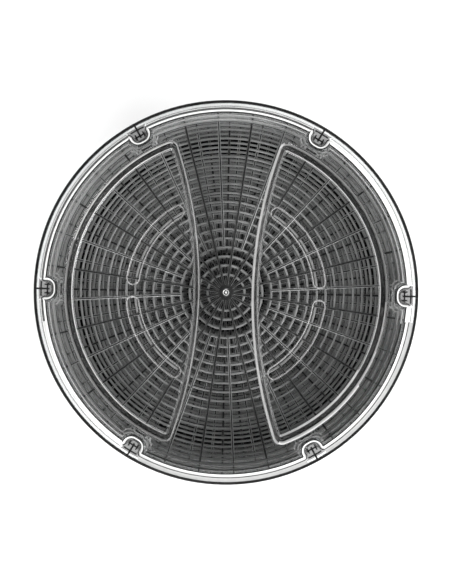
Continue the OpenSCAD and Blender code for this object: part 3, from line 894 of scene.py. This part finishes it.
# Each maker with its materials, as the values that it takes after the name.
MATERIALS = (
    (clear_plastic, {
        "lid_clear": (0.965, 0.03, 0.02, 60, 0.93),
    }),
    (dark_edge, {
        "lid_edge": (0.97,),
        "lid_deep": (0.8,),
    }),
    (hazy_plastic, {
        # The lid's painted highlights and painted shade.
        "lid_bright": ((0.84, 0.84, 0.83412), (0.92, 0.92, 0.91356), 0.1, 0.8, 0.03),
        "lid_sheen": ((0.74, 0.74, 0.73482), (0.84, 0.84, 0.83412), 0.06, 0.85, 0.02),
        "lid_pale": ((0.36, 0.36, 0.3575), (0.40, 0.40, 0.3972), 0.08, 0.85, 0.02),
        "lid_soft": ((0.28, 0.28, 0.278), (0.34, 0.34, 0.3376), 0.06, 0.85, 0.02),
        "lid_smoke": ((0.09, 0.09, 0.08937), (0.14, 0.14, 0.13902), 0.1, 0.75, 0.02),
        "lid_faint": ((0.27, 0.27, 0.26811), (0.35, 0.35, 0.34755), 0.06, 0.7, 0.02),
        "lid_line": ((0.55, 0.55, 0.546), (0.65, 0.65, 0.6455), 0.1, 0.2, 0.02),
        # Trays: the rim and spoke-edge looks are painted highlights; the rings' grey and the spokes'
        # near-black are lit and shaded copies of one plastic, painted light and shade.
        "tray_wall": ((0.20, 0.20, 0.1986), (0.235, 0.235, 0.2334), 0.1, 0.46, 0.02, 0.08),
        "tray_rim": ((0.82, 0.82, 0.81426), (0.9, 0.9, 0.8937), 0.15, 0.94, 0.05),
        "tray_rings": ((0.49, 0.49, 0.4866), (0.64, 0.64, 0.6355), 0.3, 0.95),
        "tray_spokes": ((0.045, 0.045, 0.0447), (0.07, 0.07, 0.0695), 0.12, 0.94),
        "long_edge": ((0.36, 0.36, 0.35748), (0.48, 0.48, 0.47664), 0.2, 0.95),
        "short_edge": ((0.84, 0.84, 0.83412), (0.92, 0.92, 0.91356), 0.2, 0.96),
    }),
    (moulded, {
        "base_black": ((0.010, 0.010, 0.0105), (0.018, 0.018, 0.0185), 0.42, 1400, 0.5, 0.2),
        "fascia": ((0.02, 0.02, 0.022), (0.028, 0.028, 0.03), 0.2, 500, 0.08),
        "knob": ((0.018, 0.018, 0.02), (0.03, 0.03, 0.032), 0.34, 1100, 0.3, 0.3),
        "print_white": ((0.62, 0.62, 0.60), (0.70, 0.70, 0.68), 0.45, 1500, 0.2),
        "rocker": ((0.02, 0.02, 0.02), (0.03, 0.03, 0.03), 0.22, 500, 0.1, 0.25),
        "fan_plastic": ((0.03, 0.03, 0.032), (0.045, 0.045, 0.048), 0.4, 900, 0.3),
        "mica": ((0.42, 0.36, 0.26), (0.60, 0.54, 0.42), 0.45, 300, 0.6),
        "ceramic": ((0.68, 0.66, 0.60), (0.78, 0.76, 0.71), 0.35, 700, 0.2),
        "wire_sleeve": ((0.20, 0.20, 0.21), (0.34, 0.34, 0.36), 0.7, 900, 0.9),
        "foot_rubber": ((0.012, 0.012, 0.012), (0.022, 0.022, 0.022), 0.75, 1600, 0.7),
    }),
    (metal, {
        "bright_metal": ((0.52, 0.53, 0.55), (0.70, 0.71, 0.73), 0.28, (1, 1, 0.05)),
        "heating_wire": ((0.26, 0.21, 0.18), (0.44, 0.37, 0.32), 0.5, (1, 1, 1)),
        "motor_iron": ((0.20, 0.20, 0.22), (0.38, 0.38, 0.40), 0.45, (0.05, 0.05, 1)),
        "copper_winding": ((0.45, 0.18, 0.07), (0.72, 0.34, 0.14), 0.3, (0.05, 1, 0.05)),
        "bronze": ((0.48, 0.34, 0.14), (0.66, 0.50, 0.24), 0.4, (1, 1, 1)),
    }),
)
materials = {name: make(name, *values) for make, table in MATERIALS for name, values in table.items()}
materials["deck_black"] = matt_black()
materials["lens_amber"] = amber_lens()

# The CAD nodes that are darker than the rest of their slot.
DARKER = {"base_deck": "deck_black", "outlet_grille": "deck_black"}


def dress_cad():
    """The CAD nodes that stay get their slot's material and softened edges."""
    slots = {part["node"]: part["material_slot"] for part in frame["record"]["subparts"]}
    for name, obj in frame["nodes"].items():
        if obj.hide_render or name == "lid" or name.startswith("tray_"):
            continue
        obj.data.materials.clear()
        obj.data.materials.append(materials[DARKER.get(name, slots[name])])
        weld = obj.modifiers.new("weld", "WELD")
        weld.merge_threshold = 0.01 * MM
        bevel = obj.modifiers.new("soft_edges", "BEVEL")
        bevel.width = 0.4 * MM
        bevel.segments = 2
        bevel.limit_method = "ANGLE"
        bevel.angle_limit = math.radians(35)
        weighted(obj)


# ---------------------------------------------------------------- build

def build_trays():
    """Each tray's wall, rings and spokes. A tray is turned against those above and below it."""
    patterns = {"wall": tray_wall_mesh(), "rings": tray_rings_mesh(), "spokes": tray_spokes_mesh()}
    for k in TRAYS:
        turn = Matrix.Rotation(math.radians(TURN_PER_TRAY * (2 - k)), 4, "Z")
        for part, pattern in patterns.items():
            mesh = pattern.copy()
            mesh.transform(turn)
            piece = put(f"tray_{k}_{part}_moulding", mesh, TRAY_LOOKS[part], f"tray_{k}",
                        [f"tray_{k}_{part}"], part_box(f"tray_{k}_wall")[1][2])
            weighted(piece)


dress_cad()
build_trays()
weighted(put("lid_shell", lid_mesh(), LID_LOOKS, "lid", ["lid"]))
weighted(put("lid_ribs", lid_ribs_mesh(), LID_LOOKS[:DARK + 1], "lid"))
put("dial_marks", dial_marks_mesh(), ["print_white"], "base")
put("knob_pointer", knob_pointer_mesh(), ["print_white"], "thermostat")


# ---------------------------------------------------------------- stage, light and camera, in metres

FLOOR_HALF = 12.0
LIGHT_RING = 2.12
LIGHT_LEAN = (0.1, 0.1, 0)
AIM = Vector((0, 0, 0.2))
CAMERA_UP = 1.0
CAMERA_TURN = 1.25
FOCAL_LENGTH = 72.9
CAMERA_SHIFT = 0.0008


def floor():
    """A pale floor that runs out of the picture on all sides."""
    data = bpy.data.meshes.new("floor")
    corners = [(FLOOR_HALF * x, FLOOR_HALF * y, 0) for x, y in ((-1, -1), (1, -1), (1, 1), (-1, 1))]
    data.from_pydata(corners, [], [(0, 1, 2, 3)])
    obj = bpy.data.objects.new("floor", data)
    scene.collection.objects.link(obj)
    g = Graph("floor_pale")
    g.colour(g.tint(g.noise(3, 2), (0.94, 0.94, 0.94), (0.96, 0.96, 0.96)))
    g.set(Roughness=0.8)
    data.materials.append(g.material)


def softbox(name, place, size, power):
    """A square lamp aimed at the part."""
    data = bpy.data.lights.new(name, "AREA")
    data.shape = "RECTANGLE"
    data.size = data.size_y = size
    data.energy = power
    obj = bpy.data.objects.new(name, data)
    obj.location = place
    obj.rotation_euler = (AIM - Vector(place)).to_track_quat("-Z", "Y").to_euler()
    scene.collection.objects.link(obj)


def world():
    """A pale horizon, a bright ring part-way up and a dark top, brightest to the right and the back."""
    data = bpy.data.worlds.new("studio")
    data.use_nodes = True
    tree = data.node_tree
    place = tree.nodes.new("ShaderNodeTexCoord")
    split = tree.nodes.new("ShaderNodeSeparateXYZ")
    ramp = tree.nodes.new("ShaderNodeValToRGB")
    levels = ((0.0, 0.45), (0.38, 0.48), (0.50, 1.0), (0.78, 1.0), (0.90, 0.01), (1.0, 0.003))
    fill_ramp(ramp, [(at, (level, level, level)) for at, level in levels])
    lean = tree.nodes.new("ShaderNodeVectorMath")
    lean.operation = "DOT_PRODUCT"
    lean.inputs[1].default_value = LIGHT_LEAN
    gain = tree.nodes.new("ShaderNodeMath")
    gain.operation = "MULTIPLY_ADD"
    gain.inputs[1].default_value = LIGHT_RING
    gain.inputs[2].default_value = LIGHT_RING
    tree.links.new(place.outputs["Generated"], split.inputs["Vector"])
    tree.links.new(place.outputs["Generated"], lean.inputs[0])
    tree.links.new(split.outputs["Z"], ramp.inputs["Fac"])
    tree.links.new(lean.outputs["Value"], gain.inputs[0])
    tree.links.new(ramp.outputs["Color"], tree.nodes["Background"].inputs["Color"])
    tree.links.new(gain.outputs["Value"], tree.nodes["Background"].inputs["Strength"])
    scene.world = data


def camera():
    """A camera straight above the middle of the lid."""
    data = bpy.data.cameras.new("camera")
    data.sensor_width = 36.0
    data.lens = FOCAL_LENGTH
    data.shift_y = CAMERA_SHIFT
    obj = bpy.data.objects.new("camera", data)
    obj.location = (0, 0, flange_z * MM + CAMERA_UP)
    obj.rotation_euler = (0, 0, math.radians(CAMERA_TURN))
    scene.collection.objects.link(obj)
    scene.camera = obj


floor()
world()
softbox("key", (-0.3, -1.6, 1.7), 0.8, 18)
softbox("fill", (1.5, -0.7, 1.5), 0.9, 21)
camera()

scene.view_settings.view_transform = "Standard"
scene.cycles.max_bounces = 40
scene.cycles.transmission_bounces = 40
scene.cycles.glossy_bounces = 8
scene.cycles.diffuse_bounces = 4
scene.cycles.transparent_max_bounces = 32
scene.cycles.sample_clamp_indirect = 3.0
scene.cycles.caustics_refractive = False
scene.cycles.caustics_reflective = False
